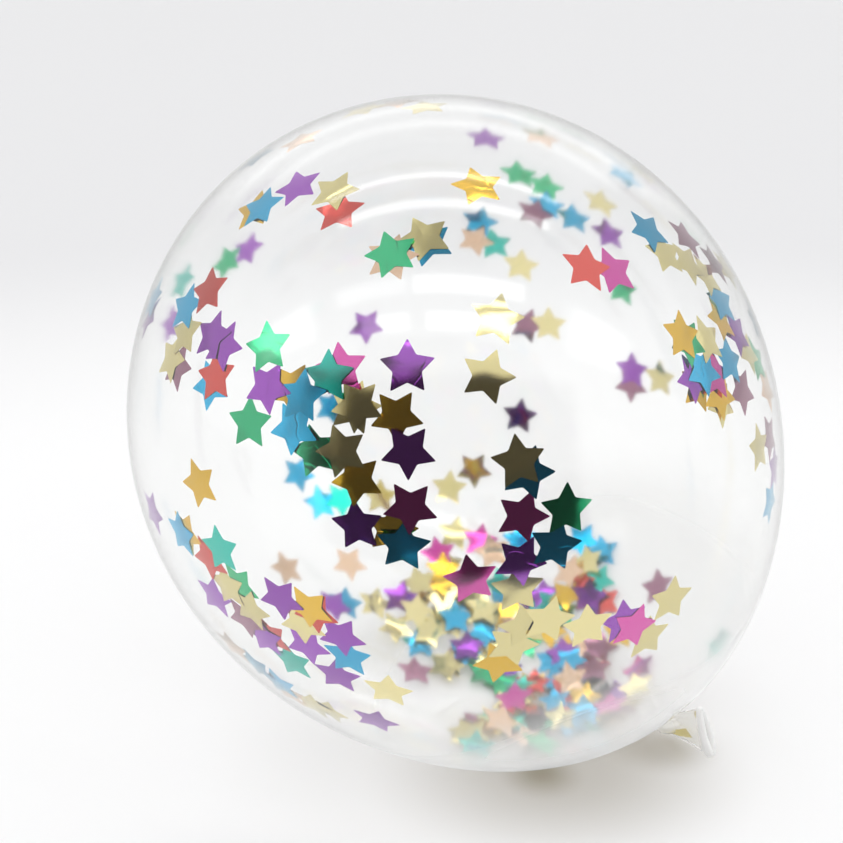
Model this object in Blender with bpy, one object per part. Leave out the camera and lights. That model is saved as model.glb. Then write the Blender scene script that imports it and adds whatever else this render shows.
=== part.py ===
"""Clear bubble balloon, blown up and tied, lying on its side-bottom.

Metres, +Z up. The origin is the middle of the small flat spot it rests on. The camera side of
the object is -Y, so the tied neck points to +X, down, and a little towards -Y.

The film bag is sealed, so it is one closed solid of the true outer shape: the egg-shaped body,
the gathered neck, the knot, and the flared tail with the rolled lip at its end.
"""
import bpy
import bmesh
from math import sin, cos, pi, radians, sqrt, exp
from mathutils import Vector, Matrix

# ---- driving sizes (metres, degrees) ----------------------------------------------------
HALF_LENGTH = 0.1487      # body centre to the crown, along the balloon's own axis
GIRTH_RADIUS = 0.1337     # nominal radius at the girth
CROWN_FULL = 0.060        # how much fuller the crown end is than the neck end
END_BLUNT = -0.029        # trims both ends of the egg a little
NECK_TILT = 54.4          # the neck points this far below horizontal
NECK_TURN = -8.3          # and is turned this far from +X (negative is towards -Y)
FLAT_DEPTH = 0.0030       # height of the cap cut off to make the flat spot

NECK_RADIUS = 0.0031      # gathered film just before the knot
NECK_FLARE = 0.0066       # extra radius where the gathers leave the body
NECK_LENGTH = 0.0036      # decay length of that flare
BLEND_POWER = 3.5         # softness of the body-to-neck fillet

KNOT_AT = 0.1620          # body centre to the middle of the knot
KNOT_RADIUS = 0.0025      # radius of the film roll that forms the knot
KNOT_LOOP = 0.0034        # radius of the loop that the roll makes
KNOT_LEAN = 24.0          # the loop is tied askew by this much

TAIL_ROOT = 0.0030        # radius where the tail leaves the knot
LIP_OFFSET = Vector((0.0138, -0.0156, 0.0059))   # knot to the middle of the lip
LIP_LEAN = Vector((-0.255, 0.130, 0.958))        # the flattened lip's long direction
LIP_HALF = 0.0112         # half the lip's flat width
LIP_THICK = 0.0032        # half the lip's thickness, low end
BEAD = 0.0013             # how far the rolled bead stands out
DISH = 0.0016             # how far the tail's closed end sits back inside the bead

SEGMENTS = 72             # round the body
BODY_RINGS = 27
TAIL_SEGMENTS = 36

AXIS = Vector((cos(radians(NECK_TILT)) * cos(radians(NECK_TURN)),
               cos(radians(NECK_TILT)) * sin(radians(NECK_TURN)),
               -sin(radians(NECK_TILT))))


def egg_radius(s):
    """Radius of the plain egg at s along the axis; the neck end is +s."""
    if abs(s) >= HALF_LENGTH:
        return 0.0
    c = -s / HALF_LENGTH
    return GIRTH_RADIUS * sqrt(1 - c * c) * (1 + CROWN_FULL * c + END_BLUNT * c * c)


def neck_radius(s):
    """A horn: it opens out to a limit inside the egg and dies away to the gathered neck outside."""
    d = (s - HALF_LENGTH) / NECK_LENGTH
    return NECK_RADIUS + NECK_FLARE * (exp(-d) if d > 0 else 1 + 1.2 * (1 - exp(d / 1.2)))


def skin_radius(s):
    """The egg, blended into the neck over its last 30 mm."""
    egg = egg_radius(s)
    if s < HALF_LENGTH - 0.030:
        return egg
    w = min(1.0, (s - (HALF_LENGTH - 0.030)) / 0.012)
    horn = neck_radius(s) * w * w * (3 - 2 * w)
    return (egg ** BLEND_POWER + horn ** BLEND_POWER) ** (1 / BLEND_POWER)


def lowest_point():
    """Where the uncut egg would touch the ground, from its own centre."""
    best = None
    out = (Vector((0, 0, -1)) - AXIS * -AXIS.z).normalized()
    for i in range(4001):
        t = pi * i / 4000
        s = -HALF_LENGTH * cos(t)
        p = AXIS * s + out * egg_radius(s)
        if best is None or p.z < best.z:
            best = p
    return best


LOW = lowest_point()
CENTRE = Vector((-LOW.x, -LOW.y, -LOW.z - FLAT_DEPTH))
KNOT = CENTRE + AXIS * KNOT_AT


def axis_frame(direction, hint):
    """Two unit directions square to `direction`; the first lies nearest to `hint`."""
    w = direction.normalized()
    u = (hint - w * hint.dot(w)).normalized()
    return u, w.cross(u)


def loft(name, rings, close_first, close_last):
    """A closed skin over rings of equal count; a single point closes an end as a fan."""
    bm = bmesh.new()
    made = [[bm.verts.new(p) for p in ring] for ring in rings]
    n = max(len(r) for r in made)
    for a, b in zip(made, made[1:]):
        for i in range(n):
            j = (i + 1) % n
            if len(a) == 1:
                bm.faces.new((a[0], b[j], b[i]))
            elif len(b) == 1:
                bm.faces.new((a[i], a[j], b[0]))
            else:
                bm.faces.new((a[i], a[j], b[j], b[i]))
    if close_first:
        bm.faces.new(list(reversed(made[0])))
    if close_last:
        bm.faces.new(made[-1])
    bmesh.ops.recalc_face_normals(bm, faces=bm.faces)
    if bm.calc_volume(signed=True) < 0:
        bmesh.ops.reverse_faces(bm, faces=bm.faces)
    mesh = bpy.data.meshes.new(name)
    bm.to_mesh(mesh)
    bm.free()
    mesh.shade_smooth()
    mesh.set_sharp_from_angle(angle=radians(40))
    ob = bpy.data.objects.new(name, mesh)
    bpy.context.scene.collection.objects.link(ob)
    return ob


def body():
    """Crown to knot, turned about the balloon's own axis."""
    u, v = axis_frame(AXIS, Vector((0, 0, 1)))
    stations = []
    last = radians(160)
    for i in range(1, BODY_RINGS + 1):
        stations.append(-HALF_LENGTH * cos(last * i / BODY_RINGS))
    s = stations[-1]
    while s < KNOT_AT - 0.002:
        s += 0.0032 if s < HALF_LENGTH - 0.004 else 0.0014
        stations.append(s)
    rings = [[CENTRE - AXIS * HALF_LENGTH]]
    for s in stations:
        r = skin_radius(s)
        c = CENTRE + AXIS * s
        rings.append([c + u * (r * cos(2 * pi * k / SEGMENTS)) + v * (r * sin(2 * pi * k / SEGMENTS))
                      for k in range(SEGMENTS)])
    return loft("balloon", rings, False, True)


def knot():
    """A short roll of film looped round the neck, tied a little askew."""
    lean = Matrix.Rotation(radians(KNOT_LEAN), 3, axis_frame(AXIS, Vector((0, 1, 0)))[0])
    w = lean @ AXIS
    u, v = axis_frame(w, Vector((0, 0, 1)))
    rings = []
    steps, sides = 28, 14
    bm = bmesh.new()
    for i in range(steps):
        a = 2 * pi * i / steps
        d = u * cos(a) + v * sin(a)
        swell = 1.0 + 0.12 * cos(a - 0.6)
        ring = []
        for k in range(sides):
            b = 2 * pi * k / sides
            ring.append(bm.verts.new(KNOT + d * (KNOT_LOOP + KNOT_RADIUS * swell * cos(b))
                                     + w * (KNOT_RADIUS * 1.15 * swell * sin(b))))
        rings.append(ring)
    for i in range(steps):
        a, b = rings[i], rings[(i + 1) % steps]
        for k in range(sides):
            m = (k + 1) % sides
            bm.faces.new((a[k], b[k], b[m], a[m]))
    bmesh.ops.recalc_face_normals(bm, faces=bm.faces)
    if bm.calc_volume(signed=True) < 0:
        bmesh.ops.reverse_faces(bm, faces=bm.faces)
    mesh = bpy.data.meshes.new("knot_loop")
    bm.to_mesh(mesh)
    bm.free()
    ob = bpy.data.objects.new("knot_loop", mesh)
    bpy.context.scene.collection.objects.link(ob)
    return ob


def core():
    """A plug that fills the middle of the knot, so neck, loop and tail are one lump."""
    mesh = bpy.data.meshes.new("knot_core")
    bm = bmesh.new()
    bmesh.ops.create_icosphere(bm, subdivisions=2, radius=0.0040, matrix=Matrix.Translation(KNOT))
    bm.to_mesh(mesh)
    bm.free()
    ob = bpy.data.objects.new("knot_core", mesh)
    bpy.context.scene.collection.objects.link(ob)
    return ob


def tail():
    """From a small round root in the knot out to the flattened lip with its rolled bead."""
    way = LIP_OFFSET.normalized()
    up, side = axis_frame(way, LIP_LEAN)
    reach = LIP_OFFSET.length
    rings = []

    def ring(centre, half, thick, grow):
        out = []
        for k in range(TAIL_SEGMENTS):
            a = 2 * pi * k / TAIL_SEGMENTS
            c, s = cos(a), sin(a)
            # the low end (c < 0) of the lip is left rounder than the upper end
            full = thick * (1.0 - 0.30 * c)
            out.append(centre + up * ((half + grow) * c) + side * ((full + grow) * s))
        return out

    steps = 11
    for i in range(steps + 1):
        f = i / steps
        open_up = f ** 1.25
        half = TAIL_ROOT + (LIP_HALF - TAIL_ROOT) * open_up
        thick = TAIL_ROOT + (LIP_THICK - TAIL_ROOT) * open_up - 0.0012 * sin(pi * f)
        at = KNOT + way * (reach * f * 0.93)
        rings.append(ring(at, half, thick, 0.0))
    # the rolled bead at the mouth, then the closed end set back inside it
    lip = KNOT + LIP_OFFSET
    for k in range(7):
        a = pi * k / 6
        rings.append(ring(lip + way * (-BEAD * cos(a)), LIP_HALF, LIP_THICK, BEAD * sin(a) * 0.95 + 0.0002))
    rings.append(ring(lip + way * (BEAD * 0.6), LIP_HALF - 0.0012, LIP_THICK - 0.0012, 0.0))
    rings.append(ring(lip + way * (BEAD - DISH - 0.0008), LIP_HALF - 0.0022, LIP_THICK - 0.0019, 0.0))
    return loft("tail_flare", rings, True, True)


def ground():
    """Everything below z = 0 is cut away: the flat spot, and a touch off the lip."""
    mesh = bpy.data.meshes.new("ground_cut")
    bm = bmesh.new()
    bmesh.ops.create_cube(bm, size=1.0, matrix=Matrix.Translation((0, 0, -0.25)) @ Matrix.Diagonal((0.8, 0.8, 0.5, 1)))
    bm.to_mesh(mesh)
    bm.free()
    ob = bpy.data.objects.new("ground_cut", mesh)
    bpy.context.scene.collection.objects.link(ob)
    return ob


def film_material():
    m = bpy.data.materials.new("clear_film")
    m.use_nodes = True
    p = m.node_tree.nodes["Principled BSDF"]
    p.inputs["Base Color"].default_value = (0.93, 0.94, 0.93, 1)
    p.inputs["Roughness"].default_value = 0.04
    p.inputs["Metallic"].default_value = 0.0
    p.inputs["Transmission Weight"].default_value = 1.0
    return m


def main():
    for ob in list(bpy.data.objects):
        bpy.data.objects.remove(ob, do_unlink=True)
    skin = body()
    helpers = [("UNION", core()), ("UNION", knot()), ("UNION", tail()), ("DIFFERENCE", ground())]
    for kind, ob in helpers:
        ob.hide_render = True
        ob.display_type = "WIRE"
        m = skin.modifiers.new(ob.name, "BOOLEAN")
        m.operation = kind
        m.solver = "EXACT"
        m.object = ob
    skin.data.materials.append(film_material())


main()
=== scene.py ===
"""Looks of the clear bubble balloon: a thin two-walled film bag, its gathered neck, knot and
rolled tail, and the loose foil stars that cling to the inner face and lie at the bottom.

Metres, +Z up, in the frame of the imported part. The camera side is -Y.
"""
import random
import bpy
import numpy as np
from math import sin, cos, pi, radians, sqrt, exp, atan2
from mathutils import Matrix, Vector


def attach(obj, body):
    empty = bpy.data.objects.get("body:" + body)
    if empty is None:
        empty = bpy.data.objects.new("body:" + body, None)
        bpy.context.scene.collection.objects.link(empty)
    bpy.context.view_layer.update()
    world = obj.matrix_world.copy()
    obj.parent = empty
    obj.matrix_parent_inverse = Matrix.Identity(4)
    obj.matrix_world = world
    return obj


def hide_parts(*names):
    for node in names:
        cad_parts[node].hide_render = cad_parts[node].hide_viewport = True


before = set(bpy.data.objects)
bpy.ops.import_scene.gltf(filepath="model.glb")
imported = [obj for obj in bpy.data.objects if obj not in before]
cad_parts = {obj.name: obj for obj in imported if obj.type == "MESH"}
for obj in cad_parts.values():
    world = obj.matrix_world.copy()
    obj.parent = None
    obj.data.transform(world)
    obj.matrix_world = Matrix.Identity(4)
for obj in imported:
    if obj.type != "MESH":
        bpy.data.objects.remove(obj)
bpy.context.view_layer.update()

scene = bpy.context.scene

# ---- sizes of the film, the same as the solid's -------------------------------------------
HALF_LENGTH = 0.1487
GIRTH_RADIUS = 0.1337
CROWN_FULL = 0.060
END_BLUNT = -0.029
NECK_TILT = 54.4
NECK_TURN = -8.3
FLAT_DEPTH = 0.0030
NECK_RADIUS = 0.0031
NECK_FLARE = 0.0066
NECK_LENGTH = 0.0036
BLEND_POWER = 3.5
KNOT_AT = 0.1620
KNOT_RADIUS = 0.0025
KNOT_LOOP = 0.0034
KNOT_LEAN = 24.0
TAIL_ROOT = 0.0030
TAIL_OPENS = 0.75
LIP_OFFSET = np.array((0.0138, -0.0156, 0.0059))
LIP_LEAN = np.array((-0.255, 0.130, 0.958))
LIP_HALF = 0.0112
LIP_THICK = 0.0032
BEAD = 0.0013

FILM = 0.0002             # wall of the blown-up film
TAIL_FILM = 0.00032       # wall of the slack film of the tail
STAR = 0.0100             # a foil star, centre to tip
STAR_WAIST = 0.525        # its inner corners, as a share of that
FOIL = 0.00005            # foil thickness
MILKY_REACH = 0.168       # how far from the knot the film looks a little cloudy
FILM_TINT = (0.962, 0.965, 0.962)
FILM_HAZE = 0.06          # roughness: what lies far behind the film looks a little soft

AXIS = np.array((cos(radians(NECK_TILT)) * cos(radians(NECK_TURN)),
                 cos(radians(NECK_TILT)) * sin(radians(NECK_TURN)),
                 -sin(radians(NECK_TILT))))


def unit(v):
    v = np.asarray(v, float)
    return v / np.maximum(np.linalg.norm(v, axis=-1, keepdims=True), 1e-12)


def square_to(direction, hint):
    w = unit(direction)
    u = unit(hint - w * np.dot(hint, w))
    return u, np.cross(w, u)


AX_U, AX_V = square_to(AXIS, np.array((0.0, 0.0, 1.0)))


def egg_radius(s):
    c = np.clip(-np.asarray(s, float) / HALF_LENGTH, -1, 1)
    return GIRTH_RADIUS * np.sqrt(1 - c * c) * (1 + CROWN_FULL * c + END_BLUNT * c * c)


def neck_radius(s):
    d = (s - HALF_LENGTH) / NECK_LENGTH
    return NECK_RADIUS + NECK_FLARE * (exp(-d) if d > 0 else 1 + 1.2 * (1 - exp(d / 1.2)))


def skin_radius(s):
    egg = float(egg_radius(s)) if abs(s) < HALF_LENGTH else 0.0
    if s < HALF_LENGTH - 0.030:
        return egg
    w = min(1.0, (s - (HALF_LENGTH - 0.030)) / 0.012)
    horn = neck_radius(s) * w * w * (3 - 2 * w)
    return (egg ** BLEND_POWER + horn ** BLEND_POWER) ** (1 / BLEND_POWER)


def body_centre():
    out = unit(np.array((0, 0, -1.0)) + AXIS * AXIS[2])
    t = np.linspace(0, pi, 4001)
    s = -HALF_LENGTH * np.cos(t)
    p = AXIS[None] * s[:, None] + out[None] * egg_radius(s)[:, None]
    low = p[np.argmin(p[:, 2])]
    return np.array((-low[0], -low[1], -low[2] - FLAT_DEPTH))


CENTRE = body_centre()
KNOT = CENTRE + AXIS * KNOT_AT


def settle(p, n=None, soft=0.0004):
    """The film gives way where it would pass below the ground: a softly rounded flat spot."""
    z = p[..., 2]
    root = np.sqrt(z * z + soft * soft)
    q = p.copy()
    q[..., 2] = 0.5 * (z + root)
    if n is None:
        return q
    w = 0.5 * (1 + z / root)
    m = n.copy()
    m[..., 0] *= w
    m[..., 1] *= w
    return q, unit(m)


# ---- camera: the photograph's viewing angle -----------------------------------------------
LOOK_DOWN = 20.0
FOCAL_PX = 1401.0
FRAME_PX = 843.0
CAM = np.array((-0.0380, -0.5599, 0.3516))
RIGHT = np.array((1.0, 0.0, 0.0))
UP = np.array((0.0, sin(radians(LOOK_DOWN)), cos(radians(LOOK_DOWN))))
AHEAD = np.array((0.0, cos(radians(LOOK_DOWN)), -sin(radians(LOOK_DOWN))))

cam_data = bpy.data.cameras.new("camera")
cam_data.sensor_width = 36.0
cam_data.lens = 36.0 * FOCAL_PX / FRAME_PX
cam_data.clip_start = 0.01
cam_data.clip_end = 60.0
cam = bpy.data.objects.new("camera", cam_data)
cam.location = CAM
cam.rotation_euler = (radians(90 - LOOK_DOWN), 0, 0)
scene.collection.objects.link(cam)
scene.camera = cam
scene.view_settings.view_transform = 'Standard'


# ---- node helpers -------------------------------------------------------------------------
class Nodes:
    def __init__(self, tree):
        self.t = tree
        self.n = 0

    def new(self, kind, **values):
        node = self.t.nodes.new(kind)
        node.location = (-220 * (self.n % 7), -190 * (self.n // 7))
        self.n += 1
        for k, v in values.items():
            setattr(node, k, v)
        return node

    def put(self, socket, value):
        if isinstance(value, bpy.types.NodeSocket):
            self.t.links.new(value, socket)
        else:
            socket.default_value = value

    def math(self, op, a, b=0.0, c=0.0):
        m = self.new("ShaderNodeMath", operation=op)
        for i, v in enumerate((a, b, c)):
            self.put(m.inputs[i], v)
        return m.outputs[0]

    def dot(self, a, vec):
        m = self.new("ShaderNodeVectorMath", operation='DOT_PRODUCT')
        self.put(m.inputs[0], a)
        m.inputs[1].default_value = vec
        return m.outputs["Value"]

    def step(self, v, lo, hi, out_lo=0.0, out_hi=1.0):
        m = self.new("ShaderNodeMapRange", interpolation_type='SMOOTHSTEP')
        self.put(m.inputs["Value"], v)
        m.inputs["From Min"].default_value = lo
        m.inputs["From Max"].default_value = hi
        m.inputs["To Min"].default_value = out_lo
        m.inputs["To Max"].default_value = out_hi
        return m.outputs["Result"]

    def band(self, v, lo, hi, soft):
        a = self.step(v, lo - soft, lo + soft)
        b = self.step(v, hi - soft, hi + soft, 1.0, 0.0)
        return self.math('MULTIPLY', a, b)

    def mix(self, f, a, b):
        m = self.new("ShaderNodeMix", data_type='RGBA')
        self.put(m.inputs[0], f)
        self.put(m.inputs[6], a)
        self.put(m.inputs[7], b)
        return m.outputs[2]

    def noise(self, vec, scale, detail=2.0, rough=0.5):
        m = self.new("ShaderNodeTexNoise")
        self.put(m.inputs["Vector"], vec)
        m.inputs["Scale"].default_value = scale
        m.inputs["Detail"].default_value = detail
        m.inputs["Roughness"].default_value = rough
        return m.outputs[0]


# ---- soft studio light: an even white surround, open at the front ---------------------------
SURROUND = 1.0            # its even brightness
OPENING = 0.085           # brightness of the open front


def studio():
    w = bpy.data.worlds.new("studio")
    scene.world = w
    w.use_nodes = True
    w.node_tree.nodes.clear()
    k = Nodes(w.node_tree)
    way = k.new("ShaderNodeTexCoord").outputs["Generated"]
    x = k.dot(way, tuple(RIGHT))
    f = k.dot(way, tuple(-AHEAD))
    u = k.dot(way, tuple(UP))
    rise = k.math('MULTIPLY', k.math('ARCTAN2', u, f), 180 / pi)
    turn = k.math('MULTIPLY', k.math('ARCSINE', x), 180 / pi)

    across = k.math('MULTIPLY', k.step(turn, -58, -37), k.step(turn, 37, 44, 1.0, 0.0))
    opening = k.math('MULTIPLY', k.band(rise, -51, 14.5, 3.5), across)
    level = k.math('MULTIPLY_ADD', opening, OPENING - SURROUND, SURROUND)
    # brighter and duller bands overhead, a soft glow at each side, and a duller back
    for lo, hi, left, right, soft, power in (
            (48.5, 72, -40, 34, 2.5, -0.06), (50, 70, -11, 12, 3.0, -0.50),
            (78.5, 86, -30, 30, 1.6, -0.18), (91.0, 106, -32, 32, 2.2, -0.13),
            (41.0, 47.4, -10.0, 23.5, 1.2, 2.4), (41.0, 47.6, -34, -11.5, 2.2, 1.3),
            (28.5, 34.4, -6.5, 20.5, 1.1, 2.4), (28.5, 34.4, -27, -12, 1.3, 2.1),
            (73.2, 77.0, -28, 28, 0.9, 2.8), (87.0, 89.4, -28, 28, 0.7, 2.6),
            (31, 48, -62, -42.5, 3.4, 1.5), (27, 46, 38.0, 57, 4.0, 1.6),
            (-28, 26, 45, 80, 5.0, -0.16),
            (104, 260, -140, -30, 6.0, -0.20), (104, 260, 33, 140, 5.0, -0.27), (146, 260, -30, 33, 9.0, -0.14)):
        bar = k.math('MULTIPLY', k.band(rise, lo, hi, soft), k.band(turn, left, right, soft))
        level = k.math('MULTIPLY_ADD', bar, power, level)

    path = k.new("ShaderNodeLightPath")
    # the foil inside catches two more bright bands, high at the back
    inside = k.math('GREATER_THAN', path.outputs["Transmission Depth"], 0.5)
    for lo, hi, power in ((99, 152, 0.12), (117, 123, 1.2), (133, 138, 1.0)):
        bar = k.math('MULTIPLY', k.band(rise, lo, hi, 2.5), k.band(turn, -32, 32, 4.0))
        level = k.math('MULTIPLY_ADD', k.math('MULTIPLY', bar, inside), power, level)
    unbent = k.math('MULTIPLY', k.math('LESS_THAN', path.outputs["Glossy Depth"], 0.5),
                    k.math('LESS_THAN', path.outputs["Diffuse Depth"], 0.5))
    plain = k.math('MAXIMUM', path.outputs["Is Camera Ray"],
                   k.math('MULTIPLY', path.outputs["Is Transmission Ray"], unbent))
    level = k.math('ADD', k.math('MULTIPLY', level, k.math('SUBTRACT', 1.0, plain)),
                   k.math('MULTIPLY', plain, 0.80))
    back = k.new("ShaderNodeBackground")
    warm = k.math('MULTIPLY', opening, k.math('SUBTRACT', 1.0, plain))
    k.put(back.inputs["Color"], k.mix(warm, (1.0, 1.0, 1.0, 1), (1.0, 0.93, 0.90, 1)))
    k.put(back.inputs["Strength"], level)
    out = k.new("ShaderNodeOutputWorld")
    k.put(out.inputs["Surface"], back.outputs[0])


studio()


# ---- floor --------------------------------------------------------------------------------
# painted shade: the floor is painted darker (FLOOR_FAR) further from the balloon, where less light falls
FLOOR_NEAR = (0.930, 0.930, 0.933)
FLOOR_FAR = (0.748, 0.748, 0.762)
FLOOR_PAINTED_SHADE = (0.13, 0.085, 0.0)      # painted shadow: the floor's colour where the heaped foil would keep the light off it


def material(name):
    m = bpy.data.materials.new(name)
    m.use_nodes = True
    return m, m.node_tree.nodes["Principled BSDF"], Nodes(m.node_tree)


def floor():
    half = 9.0
    mesh = bpy.data.meshes.new("floor")
    mesh.from_pydata([(-half, -half, 0), (half, -half, 0), (half, half, 0), (-half, half, 0)], [], [(0, 1, 2, 3)])
    ob = bpy.data.objects.new("floor", mesh)
    scene.collection.objects.link(ob)
    m, p, k = material("floor_pale")
    pos = k.new("ShaderNodeNewGeometry").outputs["Position"]
    m_len = k.new("ShaderNodeVectorMath", operation='LENGTH')
    k.put(m_len.inputs[0], pos)
    # painted shade: the floor's colour darkens from FLOOR_NEAR to FLOOR_FAR away from the balloon
    far = k.step(m_len.outputs["Value"], 0.40, 1.10)
    # painted shadow: the soft shade that the heap of foil and the tail throw on the floor below them is painted into
    # its colour
    painted_light = 1.0
    for x, y, wide, near, reach, depth in ((0.022, -0.036, 1.20, 0.010, 0.078, 0.44), (0.014, -0.041, 1.0, 0.0, 0.021, 0.52),
                                           (0.0, 0.0, 1.0, 0.060, 0.150, 0.10), (0.070, -0.021, 1.2, 0.003, 0.024, 0.34)):
        place = k.new("ShaderNodeMapping", vector_type='POINT')
        k.put(place.inputs["Vector"], pos)
        place.inputs["Location"].default_value = (-x / wide, -y, 0)
        place.inputs["Scale"].default_value = (1 / wide, 1, 1)
        away = k.new("ShaderNodeVectorMath", operation='LENGTH')
        k.put(away.inputs[0], place.outputs[0])
        painted_light = k.math('MULTIPLY', k.step(away.outputs["Value"], near, reach, 1 - depth, 1.0), painted_light)
    k.put(p.inputs["Base Color"], k.mix(painted_light, FLOOR_PAINTED_SHADE + (1,), k.mix(far, FLOOR_NEAR + (1,), FLOOR_FAR + (1,))))
    p.inputs["Roughness"].default_value = 0.30
    p.inputs["Specular IOR Level"].default_value = 0.30
    # painted reflection: in the gloss of film and foil the floor is an emission that glows white, with painted shade
    # near the balloon, under the heap and far off, and dark at the open front
    split = k.new("ShaderNodeSeparateXYZ")
    k.put(split.inputs[0], pos)
    ahead = k.math('MULTIPLY', split.outputs[1], -1.0)
    front = k.step(ahead, 0.352, 0.402)
    aside = k.math('ABSOLUTE', k.math('ADD', split.outputs[0], 0.02))
    edge = k.math('SUBTRACT', k.math('MULTIPLY_ADD', ahead, 0.86, -0.02), aside)
    dark = k.math('MULTIPLY', front, k.step(edge, -0.02, 0.05))
    shade = k.math('MULTIPLY', k.step(m_len.outputs["Value"], 0.02, 0.12, 0.90, 0.99), k.math('MULTIPLY_ADD', far, -0.16, 1.0))
    shade = k.math('MULTIPLY', shade, k.math('MULTIPLY_ADD', painted_light, 0.60, 0.40))
    glow = k.new("ShaderNodeEmission")
    k.put(glow.inputs["Strength"], k.math('MULTIPLY', shade, k.math('MULTIPLY_ADD', dark, OPENING - 1.0, 1.0)))
    path = k.new("ShaderNodeLightPath")
    both = k.new("ShaderNodeMixShader")
    k.put(both.inputs[0], k.math('GREATER_THAN', path.outputs["Glossy Depth"], 0.5))
    k.put(both.inputs[1], p.outputs[0])
    k.put(both.inputs[2], glow.outputs[0])
    k.put(m.node_tree.nodes["Material Output"].inputs["Surface"], both.outputs[0])
    mesh.materials.append(m)


floor()


# ---- film ---------------------------------------------------------------------------------
def clear_film():
    m, p, k = material("clear_film")
    p.inputs["Base Color"].default_value = FILM_TINT + (1,)
    p.inputs["Roughness"].default_value = FILM_HAZE
    p.inputs["IOR"].default_value = 1.45
    p.inputs["Transmission Weight"].default_value = 1.0
    return m


def milky_film():
    m, p, k = material("clear_film_neck")
    pos = k.new("ShaderNodeNewGeometry").outputs["Position"]
    d = k.new("ShaderNodeVectorMath", operation='DISTANCE')
    k.put(d.inputs[0], pos)
    d.inputs[1].default_value = tuple(KNOT)
    dist = d.outputs["Value"]
    grain = k.noise(pos, 260.0, 1.0, 0.6)
    wide = k.step(dist, 0.052, 0.125, 0.48, 0.0)
    tight = k.step(dist, 0.006, 0.034, 0.52, 0.0)
    split = k.new("ShaderNodeSeparateXYZ")
    k.put(split.inputs[0], pos)
    low = k.math('MULTIPLY', k.step(split.outputs[2], 0.060, 0.108, 0.74, 0.0), k.step(dist, 0.120, MILKY_REACH - 0.008, 1.0, 0.0))
    haze = k.math('MULTIPLY', k.math('ADD', wide, tight), k.math('MULTIPLY_ADD', grain, 0.24, 0.88))
    k.put(p.inputs["Base Color"], k.mix(tight, k.mix(k.math('MINIMUM', low, 1.0), FILM_TINT + (1,), (0.99, 0.99, 0.985, 1)), (0.955, 0.94, 0.895, 1)))
    k.put(p.inputs["Roughness"], k.math('MULTIPLY_ADD', haze, 0.12, FILM_HAZE))
    k.put(p.inputs["Transmission Weight"], k.math('MULTIPLY_ADD', k.math('MAXIMUM', haze, low), -0.46, 1.0))
    p.inputs["IOR"].default_value = 1.45
    return m


def slack_film(name, colour, rough, clear):
    """The film of the tail was never stretched, so it is cloudy."""
    m, p, _ = material(name)
    p.inputs["Base Color"].default_value = colour + (1,)
    p.inputs["Roughness"].default_value = rough
    p.inputs["IOR"].default_value = 1.45
    p.inputs["Transmission Weight"].default_value = clear
    return m


class Skin:
    """Collects rings into one mesh; every ring has as many points as the last one."""

    def __init__(self):
        self.verts = []
        self.faces = []

    def shell(self, rings, flip=False, close=True):
        n = max(len(r) for r in rings)
        start = []
        for r in rings:
            start.append(len(self.verts))
            self.verts.extend([tuple(p) for p in r])
        for (a, ra), (b, rb) in zip(list(zip(start, rings))[:-1], list(zip(start, rings))[1:]):
            for i in range(n):
                j = (i + 1) % n
                if len(ra) == 1:
                    f = (a, b + j, b + i)
                elif len(rb) == 1:
                    f = (a + i, a + j, b)
                else:
                    f = (a + i, a + j, b + j, b + i)
                self.faces.append(tuple(reversed(f)) if flip else f)


def ring_normals(rings):
    """Outward normals of a closed stack of rings, by differences along and round it."""
    out = []
    full = [r if len(r) > 1 else np.repeat(r, max(len(q) for q in rings), axis=0) for r in rings]
    for i, r in enumerate(full):
        a = full[max(i - 1, 0)]
        b = full[min(i + 1, len(full) - 1)]
        along = b - a
        if len(rings[i]) == 1:
            out.append(None)
            continue
        roundv = np.roll(r, -1, axis=0) - np.roll(r, 1, axis=0)
        out.append(unit(np.cross(roundv, along)))
    return out


SEGMENTS = 168


def body_rings():
    """Crown to knot. Pleats gather the film over its last 30 mm before the knot."""
    stations = [(-HALF_LENGTH * cos(radians(159) * i / 104)) for i in range(1, 105)]
    s = stations[-1]
    while s < KNOT_AT - 0.0010:
        s += 0.0010 if s < HALF_LENGTH - 0.006 else 0.00062
        stations.append(s)
    rng = random.Random(11)
    folds = [(7, 0.9, rng.uniform(0, 6)), (11, 1.0, rng.uniform(0, 6)), (16, 0.75, rng.uniform(0, 6)), (23, 0.45, rng.uniform(0, 6))]
    a = np.linspace(0, 2 * pi, SEGMENTS, endpoint=False)
    pleat = sum(w * np.cos(k * a + ph) for k, w, ph in folds) / sum(w for _, w, _ in folds)
    pleat = np.sign(pleat) * np.abs(pleat) ** 0.8
    rings = [np.array([CENTRE - AXIS * HALF_LENGTH])]
    for s in stations:
        r = skin_radius(s)
        d = HALF_LENGTH + 0.004 - s
        depth = 0.0
        if d < 0.040:
            q = max(0.0, min(1.0, 1 - d / 0.040))
            depth = min(0.34 * r, 0.00125) * q ** 2.6
        rr = r + depth * (pleat - 0.35)
        c = CENTRE + AXIS * s
        rings.append(settle(c + AX_U * (rr * np.cos(a))[:, None] + AX_V * (rr * np.sin(a))[:, None]))
    return rings


def inner_of(rings, wall):
    normals = ring_normals(rings)
    centre_pull = []
    for r, n in zip(rings, normals):
        if n is None:
            centre_pull.append(r + AXIS * wall)
        else:
            centre_pull.append(r - n * wall)
    return centre_pull


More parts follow.
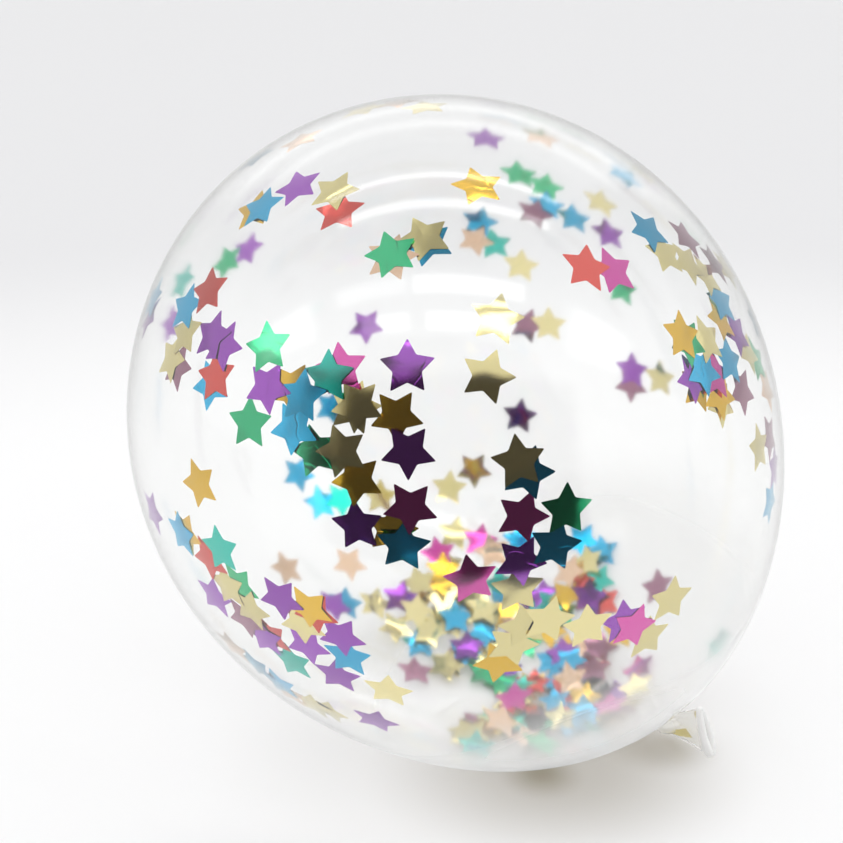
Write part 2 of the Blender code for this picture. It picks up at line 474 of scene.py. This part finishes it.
def knot_rings(steps=60, sides=26):
    """The roll of film that was looped round the neck, with the creases of its gathers."""
    u0, _ = square_to(AXIS, np.array((0.0, 1.0, 0.0)))
    lean = radians(KNOT_LEAN)
    w = AXIS * cos(lean) + np.cross(u0, AXIS) * sin(lean)
    u, v = square_to(w, np.array((0.0, 0.0, 1.0)))
    rings = []
    for i in range(steps):
        a = 2 * pi * i / steps
        d = u * cos(a) + v * sin(a)
        swell = 1.0 + 0.12 * cos(a - 0.6)
        ring = []
        for j in range(sides):
            b = 2 * pi * j / sides
            crease = 1.0 + 0.07 * cos(7 * b + 2.0 * a) + 0.045 * cos(11 * b - 3.0 * a + 1.0)
            ring.append(KNOT + d * (KNOT_LOOP + KNOT_RADIUS * swell * crease * cos(b) * 0.97)
                        + w * (KNOT_RADIUS * 1.15 * swell * crease * sin(b) * 0.97))
        rings.append(np.array(ring))
    return rings


def tail_rings():
    """From the knot to the flattened mouth, where the rolled bead sits, and back down inside."""
    way = unit(LIP_OFFSET)
    up, side = square_to(way, LIP_LEAN)
    side = np.cross(way, up)
    reach = np.linalg.norm(LIP_OFFSET)
    n = 120
    a = np.linspace(0, 2 * pi, n, endpoint=False)
    c, s = np.cos(a), np.sin(a)
    rng = random.Random(5)
    folds = [(5, 1.0, rng.uniform(0, 6)), (9, 0.8, rng.uniform(0, 6)), (14, 0.6, rng.uniform(0, 6))]
    pleat = sum(w * np.cos(k * a + ph) for k, w, ph in folds) / 2.4

    def ring(at, half, thick, grow=0.0):
        full = thick * (1.0 - 0.30 * c)
        return settle(at + up * ((half + grow) * c)[:, None] + side * ((full + grow) * s)[:, None], soft=0.0003)

    def station(f, inset):
        opened = f ** TAIL_OPENS
        half = TAIL_ROOT + (LIP_HALF - TAIL_ROOT) * opened
        thick = TAIL_ROOT + (LIP_THICK - TAIL_ROOT) * opened - 0.0012 * sin(pi * f)
        fold = pleat * 0.00042 * sin(pi * min(1.0, f * 1.02)) ** 0.8
        at = KNOT + way * (reach * f * 0.955)
        return ring(at, half - 0.0002, thick - 0.0002, fold - inset)

    rings = [np.array([KNOT])]
    steps = 26
    for i in range(steps + 1):
        rings.append(station(i / steps, 0.0))
    for i in range(steps, 2, -1):
        rings.append(station(i / steps, TAIL_FILM))
    rings.append(np.array([KNOT + way * (reach * 2 / steps * 0.955)]))
    return rings


def lip_rings(steps=96, sides=24):
    """The mouth's film rolled on itself: a thick soft roll, fuller at its foot, almost shut."""
    way = unit(LIP_OFFSET)
    up, _ = square_to(way, LIP_LEAN)
    side = np.cross(way, up)
    rings = []
    for i in range(steps):
        a = 2 * pi * i / steps
        c, s = cos(a), sin(a)
        half, thick = LIP_HALF - 0.0008, (LIP_THICK - 0.0013) * (1.0 - 0.26 * c)
        roll = 0.00186 * (1.0 - 0.18 * c)
        out = unit(up * (c / half) + side * (s / thick))
        ring = []
        for j in range(sides):
            b = 2 * pi * j / sides
            r = roll * (1.0 + 0.035 * cos(6 * b + 2 * a) + 0.04 * cos(5 * a + 1.0) + 0.025 * cos(11 * a + b))
            ring.append(KNOT + LIP_OFFSET + up * (half * c) + side * (thick * s) + out * (r * cos(b)) + way * (r * sin(b)))
        rings.append(settle(np.array(ring), soft=0.0003))
    return rings


def make_skin():
    skin = Skin()
    outer = body_rings()
    last = outer[-1].mean(axis=0)
    inner = inner_of(outer, FILM)[:-6]
    skin.shell(outer + [np.array([last])])
    end = inner[-1].mean(axis=0)
    skin.shell(inner + [np.array([end])], flip=True)

    def hoop(rings):
        base, m = len(skin.verts), len(rings[0])
        for r in rings:
            skin.verts.extend([tuple(p) for p in r])
        for i in range(len(rings)):
            j = (i + 1) % len(rings)
            for q in range(m):
                t = (q + 1) % m
                skin.faces.append((base + i * m + q, base + j * m + q, base + j * m + t, base + i * m + t))

    hoop(knot_rings())
    skirt_from = len(skin.faces)
    skin.shell(tail_rings())
    lip_from = len(skin.faces)
    hoop(lip_rings())
    mesh = bpy.data.meshes.new("film_skin")
    mesh.from_pydata(skin.verts, [], skin.faces)
    ob = bpy.data.objects.new("film_skin", mesh)
    scene.collection.objects.link(ob)
    mesh.materials.append(clear_film())
    mesh.materials.append(milky_film())
    mesh.materials.append(slack_film("clear_film_tail", (0.985, 0.982, 0.965), 0.14, 0.84))
    mesh.materials.append(slack_film("clear_film_lip", (0.975, 0.975, 0.965), 0.46, 0.0))
    co = np.empty(len(mesh.vertices) * 3, dtype=np.float32)
    mesh.vertices.foreach_get("co", co)
    co = co.reshape(-1, 3)
    near = np.linalg.norm(co - KNOT, axis=1) < MILKY_REACH
    idx = np.zeros(len(mesh.polygons), dtype=np.int32)
    for p in mesh.polygons:
        if p.index >= skirt_from:
            idx[p.index] = 2 if p.index < lip_from else 3
        elif all(near[v] for v in p.vertices):
            idx[p.index] = 1
    mesh.polygons.foreach_set("material_index", idx)
    mesh.shade_smooth()
    # clear film throws hardly any shadow in such even light
    ob.visible_diffuse = False
    ob.visible_shadow = False
    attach(ob, "root")
    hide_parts("balloon")
    return ob


# ---- the inner face, as seen from the body's centre ----------------------------------------
def along(d):
    """Where unit directions from the body's centre meet the egg, and the outward normals."""
    d = unit(d)
    ca = d @ AXIS
    sa = np.sqrt(np.maximum(0, 1 - ca * ca))
    lo = np.full(len(d), 0.05)
    hi = np.full(len(d), 0.17)
    for _ in range(34):
        mid = 0.5 * (lo + hi)
        outside = mid * sa - egg_radius(mid * ca) >= 0
        outside |= np.abs(mid * ca) >= HALF_LENGTH
        hi = np.where(outside, mid, hi)
        lo = np.where(outside, lo, mid)
    rho = 0.5 * (lo + hi)
    p = CENTRE + d * rho[:, None]
    s = np.clip(rho * ca, -HALF_LENGTH + 2e-5, HALF_LENGTH - 2e-5)
    slope = (egg_radius(s + 1e-5) - egg_radius(s - 1e-5)) / 2e-5
    radial = unit(d - AXIS * ca[:, None])
    return p, unit(radial - AXIS * slope[:, None])


def through(px, py, far, inset=0.0):
    """The point of the egg whose star, lying `inset` inside it, is behind a place in the picture."""
    ray = unit(RIGHT * (px - FRAME_PX / 2) / FOCAL_PX + UP * (FRAME_PX / 2 - py) / FOCAL_PX + AHEAD)
    t = np.linspace(0.36, 0.90, 2161)
    p = CAM + ray * t[:, None]
    s = (p - CENTRE) @ AXIS
    rad = np.linalg.norm(p - CENTRE - AXIS * s[:, None], axis=1)
    gap = rad - egg_radius(s)
    inside = np.flatnonzero(gap < -inset)
    if len(inside) == 0:
        i = int(np.argmin(gap))
    else:
        i = int(inside[-1] if far else inside[0])
    q, n = along((p[i] - CENTRE)[None])
    return q[0], n[0], ray


# ---- one foil star, drawn flat -------------------------------------------------------------
def star_outline():
    corners = []
    for i in range(10):
        a = pi * i / 5
        r = 1.0 if i % 2 == 0 else STAR_WAIST
        corners.append(np.array((r * cos(a), r * sin(a))))
    pts = []
    for i in range(10):
        here, before, after = corners[i], corners[i - 1], corners[(i + 1) % 10]
        if i % 2 == 0:
            cut = 0.085
            a = here + (before - here) * cut
            b = here + (after - here) * cut
            pts += [a, (a + b + here * 1.1) / 3.1, b]
        else:
            cut = 0.05
            pts += [here + (before - here) * cut, here + (after - here) * cut]
        for f in (0.36, 0.68):
            pts.append(here + (after - here) * f)
    return np.array(pts) * STAR


OUTLINE = star_outline()
OUT_ANGLE = np.arctan2(OUTLINE[:, 1], OUTLINE[:, 0]) % (2 * pi)
OUT_ORDER = np.argsort(OUT_ANGLE)
OUT_REACH = np.linalg.norm(OUTLINE, axis=1)
RING_AT = (1.0, 0.74, 0.46, 0.22)
FLAT_STAR = np.vstack([OUTLINE * f for f in RING_AT] + [np.zeros((1, 2))])


def star_faces():
    n = len(OUTLINE)
    top = []
    for r in range(len(RING_AT) - 1):
        for i in range(n):
            j = (i + 1) % n
            top.append((r * n + i, r * n + j, (r + 1) * n + j, (r + 1) * n + i))
    mid = len(FLAT_STAR) - 1
    for i in range(n):
        top.append(((len(RING_AT) - 1) * n + i, (len(RING_AT) - 1) * n + (i + 1) % n, mid))
    shift = len(FLAT_STAR)
    low = [tuple(reversed([v + shift for v in f])) for f in top]
    side = [(i, i + shift, (i + 1) % n + shift, (i + 1) % n) for i in range(n)]
    return top + low + side


STAR_FACES = star_faces()


class Confetti:
    """Lays stars on the inner face one after another, each over what is already there."""

    def __init__(self):
        n = 150000
        i = np.arange(n) + 0.5
        z = 1 - 2 * i / n
        a = pi * (1 + sqrt(5)) * i
        r = np.sqrt(1 - z * z)
        self.at, _ = along(np.stack((r * np.cos(a), r * np.sin(a), z), axis=1))
        self.height = np.zeros(n)
        self.verts = {}
        self.faces = {}
        self.tones = {}
        self.count = 0
        self.rng = random.Random(20)

    def lay(self, p0, n0, tip, colour, curl=None, flat=None, lean=None, heap=False):
        rng = self.rng
        t1 = unit(tip - n0 * np.dot(tip, n0))
        t2 = np.cross(n0, t1)
        flat = rng.uniform(0.0, 0.30) if flat is None else flat
        curl_way = rng.uniform(0, 2 * pi)
        if curl is None:
            curl = rng.choice((0.0, 0.0, 0.00015, 0.0003, 0.0006)) if not heap else rng.choice((0.0, 0.0003, 0.0008, 0.0014))
        cx, cy = cos(curl_way), sin(curl_way)

        def own(x, y):
            rho2 = x * x + y * y
            lift = np.maximum(0.0, (x * cx + y * cy) / STAR - 0.05)
            return flat * (STAR * STAR - rho2) / (2 * 0.135) + curl * lift * lift

        rel = self.at - p0
        near = np.flatnonzero(np.einsum('ij,ij->i', rel, rel) < (STAR * 1.06) ** 2)
        rel = rel[near]
        x, y = rel @ t1, rel @ t2
        ang = np.arctan2(y, x) % (2 * pi)
        reach = np.interp(ang, OUT_ANGLE[OUT_ORDER], OUT_REACH[OUT_ORDER], period=2 * pi)
        keep = np.hypot(x, y) < reach + 0.0006
        near, x, y = near[keep], x[keep], y[keep]
        h = self.height[near]
        basis = np.stack((np.ones_like(x), x, y), axis=1)
        fit = np.linalg.lstsq(basis, h, rcond=None)[0]
        most = 0.30 if heap else 0.03
        lean = (0.10 if heap else 0.032) if lean is None else lean
        b = np.clip(fit[1], -most, most) + rng.uniform(-lean, lean)
        c = np.clip(fit[2], -most, most) + rng.uniform(-lean, lean)
        a = np.max(h - b * x - c * y - own(x, y))

        def offset(x, y):
            return a + b * x + c * y + own(x, y)

        self.height[near] = offset(x, y) + FOIL + 0.00005
        fx, fy = FLAT_STAR[:, 0], FLAT_STAR[:, 1]
        flatp = p0 + t1 * fx[:, None] + t2 * fy[:, None]
        s, n = along(flatp - CENTRE)
        s, n = settle(s, n)
        lift = FILM + 0.00009 + offset(fx, fy)
        top = s - n * lift[:, None]
        low = s - n * (lift + FOIL)[:, None]
        vs = self.verts.setdefault(colour, [])
        base = len(vs)
        vs.extend(map(tuple, np.vstack((top, low))))
        self.faces.setdefault(colour, []).extend(tuple(v + base for v in f) for f in STAR_FACES)
        self.tones.setdefault(colour, []).extend([rng.random()] * (2 * len(FLAT_STAR)))
        self.count += 1

    def at_pixel(self, px, py, angle, colour, far=False, **more):
        p, n, ray = through(px, py, far)
        if more.get("heap"):
            rel = self.at - p
            close = np.einsum('ij,ij->i', rel, rel) < (STAR * 0.6) ** 2
            p, n, ray = through(px, py, far, float(np.max(self.height[close], initial=0.0)) * 0.9)
        w = RIGHT * sin(radians(angle)) + UP * cos(radians(angle))
        dn = float(np.dot(ray, n))
        if abs(dn) < 0.12:
            dn = 0.12 * (1 if dn > 0 else -1)
        tip = w - ray * (float(np.dot(w, n)) / dn)
        self.lay(p, n, tip, colour, **more)


# Where the stars lie, as seen in the picture: across, down, the turn of one tip from upright,
# and the foil. The first of two that overlap is the one next to the film.
NEAR_WALL = """
297 186 257 purple      334 190 35 champagne    338 210 278 red         261 206 24 blue
254 208 20 gold         208 290 9 red           185 307 17 blue         184 332 9 champagne
170 358 181 champagne   176 366 100 plum     211 335 17 purple       222 345 99 purple
214 376 1 red           209 384 190 blue        267 347 -2 green        266 387 178 purple
247 423 2 green         300 396 7 blue          292 428 186 blue        289 388 30 gold
326 376 2 teal          339 368 -7 magenta      355 405 186 champagne   352 407 160 champagne
407 367 0 purple        408 452 180 purple      395 416 33 gold         410 508 39 magenta
403 547 5 blue          339 452 -19 champagne   355 481 45 gold         312 452 200 green
355 528 -9 purple       390 533 229 gold        488 376 19 champagne    519 462 -8 champagne
528 473 17 blue         523 517 22 magenta      567 510 2 green         556 546 15 blue
521 562 30 purple       471 580 -11 magenta     391 253 -18 green       391 256 18 peach
424 236 -29 champagne   427 241 -29 blue        478 185 -22 gold        497 318 12 champagne
587 267 1 red           614 270 -24 magenta     649 230 -41 blue        666 252 -25 champagne
690 262 10 champagne    688 236 -45 plum     715 262 -20 plum     709 274 -30 champagne
724 300 -20 blue        724 318 30 gold         741 332 10 purple       683 335 -8 gold
690 341 20 green        709 339 -20 champagne   731 360 -8 blue         706 370 14 blue
718 374 -4 magenta      697 377 -25 purple      702 386 5 gold          724 394 170 gold
745 390 10 plum      727 402 20 champagne    752 350 0 champagne     760 359 -15 green       769 388 0 peach
760 448 -5 champagne    771 437 10 plum      777 467 0 purple        773 502 -15 blue
518 590 0 champagne     549 621 20 champagne    525 628 -10 champagne   588 627 0 champagne
513 647 30 champagne    500 664 -30 gold        634 627 25 magenta      624 622 0 purple
672 600 12 champagne    648 638 60 champagne    198 484 -18 gold        152 512 -26 purple
180 534 -10 blue        185 533 10 gold         219 550 -15 teal        207 560 -28 red
225 588 -20 champagne   249 611 0 champagne     237 587 124 green       213 598 -45 purple
243 621 -40 plum     262 640 -60 purple      268 639 60 red          290 664 -28 teal
280 599 -38 purple      308 609 48 gold         313 614 113 red         300 627 270 champagne
305 648 27 purple       339 640 35 purple       346 660 -9 blue         336 679 -9 purple
388 692 0 champagne     375 722 -64 purple      232 647 -50 peach       255 666 -60 blue
278 684 -60 blue        287 693 -60 peach       312 706 -60 champagne   327 712 -60 champagne
363 108 60 champagne    398 101 70 peach        425 106 80 champagne    152 298 20 blue
147 316 5 purple        256 157 60 blue         300 139 60 peach
700 221 -42 blue        727 268 -35 champagne       745 290 -30 champagne   755 320 -20 blue
"""

FLUSH = {(634, 627), (624, 622)}       # these two lie flush, one on the other

FAR_WALL = """
247 249 20 purple       226 261 -10 green       181 281 22 teal         170 323 5 purple
366 326 180 purple       486 137 -2 purple       541 136 10 peach        519 173 -10 green
546 185 10 green        547 204 0 blue          574 217 -5 blue         535 212 20 plum
601 202 5 champagne     609 233 -15 purple      480 221 15 blue         494 243 -10 teal
521 265 5 champagne     476 239 30 peach        527 325 20 plum      549 324 0 champagne
520 416 8 purple        632 384 180 plum      633 370 0 purple        661 378 0 champagne
298 474 20 blue         320 503 -15 blue        341 500 30 teal         286 569 -25 peach
349 564 170 peach       380 497 0 champagne     345 604 0 blue          333 606 30 purple
331 407 20 blue         474 470 177 champagne   449 488 150 champagne   622 288 0 green
626 175 60 blue         645 172 60 champagne    658 587 0 plum        719 645 20 teal
375 604 10 champagne    520 540 0 blue
"""

HEAP = """
455 534 0 champagne     438 554 0 magenta       480 541 20 magenta      492 552 0 peach
443 570 10 gold         440 584 30 gold         418 583 0 champagne     400 597 0 purple
415 612 20 champagne    455 618 0 blue          484 634 25 blue         483 610 0 champagne
466 648 10 purple       419 645 0 blue          415 672 -5 plum      445 666 20 champagne
484 672 15 green        545 597 0 purple        552 604 30 teal         580 583 5 red
567 597 20 gold         590 598 0 purple        583 541 20 blue         603 553 0 blue
588 562 -8 champagne    570 573 30 peach        563 655 0 purple        572 667 180 blue
600 650 10 plum      597 677 0 plum       640 670 0 magenta       617 694 0 purple
573 690 0 peach         585 704 20 gold         533 690 0 red           517 694 30 teal
512 709 10 magenta      555 708 0 blue          586 718 20 blue         535 722 0 red
500 732 10 peach        562 731 0 champagne     540 747 0 green         475 743 20 teal
613 712 0 magenta       640 692 0 champagne     428 632 10 champagne    395 628 30 champagne
"""


def table(text):
    word = text.split()
    for i in range(0, len(word), 4):
        yield float(word[i]), float(word[i + 1]), float(word[i + 2]), word[i + 3]


FOILS = {
    # foil: base colour, the record's slot
    "purple": ((0.325, 0.070, 0.48), "foil_purple"),
    "magenta": ((0.70, 0.10, 0.42), "foil_magenta"),
    "plum": ((0.36, 0.16, 0.24), "foil_magenta"),
    "red": ((0.70, 0.095, 0.075), "foil_red"),
    "gold": ((0.84, 0.53, 0.050), "foil_gold"),
    "lemon": ((0.90, 0.74, 0.05), "foil_gold"),
    "champagne": ((0.83, 0.73, 0.36), "foil_champagne"),
    "peach": ((0.85, 0.60, 0.42), "foil_champagne"),
    "green": ((0.035, 0.50, 0.22), "foil_green"),
    "teal": ((0.020, 0.52, 0.42), "foil_green"),
    "blue": ((0.022, 0.42, 0.69), "foil_blue"),
}


def foil(name, colour):
    m, p, k = material("foil_" + name)
    pos = k.new("ShaderNodeNewGeometry").outputs["Position"]
    tone = k.new("ShaderNodeAttribute", attribute_name="tone").outputs["Fac"]
    fine = k.noise(pos, 900.0, 3.0, 0.6)
    wave = k.noise(pos, 75.0, 0.0, 0.5)
    ridge = k.math('ABSOLUTE', k.math('SUBTRACT', k.noise(pos, 105.0, 0.6, 0.5), 0.5))
    crease = k.math('MULTIPLY', k.step(ridge, 0.0, 0.030), k.step(tone, 0.35, 0.95))
    dark = tuple(v * 0.86 for v in colour) + (1,)
    pale = tuple(min(1.0, v * 1.10 + 0.015) for v in colour) + (1,)
    k.put(p.inputs["Base Color"], k.mix(tone, dark, pale))
    p.inputs["Metallic"].default_value = 1.0
    k.put(p.inputs["Roughness"], k.math('MULTIPLY_ADD', fine, 0.07, 0.055))
    bump = k.new("ShaderNodeBump")
    bump.inputs["Strength"].default_value = 1.0
    bump.inputs["Distance"].default_value = 0.001
    k.put(bump.inputs["Height"], k.math('MULTIPLY_ADD', wave, 0.85, k.math(
        'MULTIPLY_ADD', crease, 0.036, k.math('MULTIPLY', fine, 0.005))))
    k.put(p.inputs["Normal"], bump.outputs[0])
    return m


def tail_star(lay, colour, fold):
    """Stars were left in the tail when the neck was tied. One is folded in half along its axis,
    tip towards the knot, against the near side of the skirt; the other is crushed under the lip."""
    way = unit(LIP_OFFSET)
    up, _ = square_to(way, LIP_LEAN)
    side = np.cross(way, up)
    reach = np.linalg.norm(LIP_OFFSET)
    x, y = FLAT_STAR[:, 0], FLAT_STAR[:, 1]
    if fold:
        s = 0.0062 - x
        high = -0.0030 + 0.0034 * s / (0.55 * reach) - np.abs(y) * 0.9
        under = 0.00013 * np.clip(y / 0.001, 0, 1)
    else:
        s = reach * 0.885 - y * 0.17
        high = 0.0082 + x * 0.24
        under = 0.0003 + 0.00035 * np.sin(y / STAR * 8) + 0.0002 * np.sin(x / STAR * 7)
    f = np.clip(s / reach, 0.01, 0.97)
    opened = f ** TAIL_OPENS
    half = TAIL_ROOT + (LIP_HALF - TAIL_ROOT) * opened - 0.0002
    thick = TAIL_ROOT + (LIP_THICK - TAIL_ROOT) * opened - 0.0012 * np.sin(pi * f) - 0.0002
    most = half - 0.0008
    v = np.where(high < 0, -most * np.tanh(-high / most), np.minimum(high, most))
    c = v / half
    face = np.maximum(thick * (1 - 0.30 * c) * np.sqrt(1 - c * c) - 0.0009, 0.0002)
    mid = KNOT + way * s[:, None] + up * v[:, None] + side * (face - under)[:, None]
    vs = lay.verts.setdefault(colour, [])
    base = len(vs)
    both = np.vstack((mid + side * FOIL / 2, mid - side * FOIL / 2))
    both[:, 2] = np.maximum(both[:, 2], 0.0009)
    vs.extend(map(tuple, both))
    lay.faces.setdefault(colour, []).extend(tuple(i + base for i in face_) for face_ in STAR_FACES)
    lay.tones.setdefault(colour, []).extend([0.35] * len(both))


def make_confetti():
    lay = Confetti()
    for px, py, turn, colour in table(NEAR_WALL):
        flush = {"curl": 0.0, "flat": 0.05, "lean": 0.004} if (px, py) in FLUSH else {}
        lay.at_pixel(px, py, turn, colour, **flush)
    for px, py, turn, colour in table(FAR_WALL):
        lay.at_pixel(px, py, turn, colour, far=True)
    # the lowest of the heap, under those that show
    rng = random.Random(7)
    names = sorted(set(FOILS) - {"plum", "lemon"}) + ["champagne", "blue", "gold"]
    light_ones = ["champagne", "peach", "teal", "plum", "green"]
    for across, down, wide, deep, count, choice in ((518, 622, 112, 78, 40, names), (556, 706, 80, 34, 24, names),
                                                    (508, 735, 46, 11, 9, light_ones)):
        for _ in range(count):
            a, r = rng.uniform(0, 2 * pi), sqrt(rng.random())
            px, py = across + wide * r * cos(a), down + deep * r * sin(a)
            turn, colour = rng.uniform(0, 360), rng.choice(choice)
            if px < 502 and 668 < py < 722:
                continue                    # the heap has a bay here
            if px < 500 and colour in ("green", "teal", "red", "gold"):
                colour = "champagne"
            lay.at_pixel(px, py, turn, colour, far=True, heap=True)
    for px, py, turn, colour in table(HEAP):
        lay.at_pixel(px, py, turn + rng.uniform(-15, 15), colour, far=True, heap=True)
    tail_star(lay, "lemon", True)
    tail_star(lay, "champagne", False)
    for colour, (rgb, slot) in FOILS.items():
        if colour not in lay.verts:
            continue
        name = "stars_" + colour
        mesh = bpy.data.meshes.new(name)
        mesh.from_pydata(lay.verts[colour], [], lay.faces[colour])
        tone = mesh.attributes.new("tone", 'FLOAT', 'POINT')
        tone.data.foreach_set("value", np.array(lay.tones[colour], dtype=np.float32))
        mesh.shade_smooth()
        mesh.set_sharp_from_angle(angle=radians(40))
        mesh.materials.append(foil(colour, rgb))
        ob = bpy.data.objects.new(name, mesh)
        scene.collection.objects.link(ob)
        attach(ob, "root")
    print("stars laid", lay.count)


make_skin()
make_confetti()
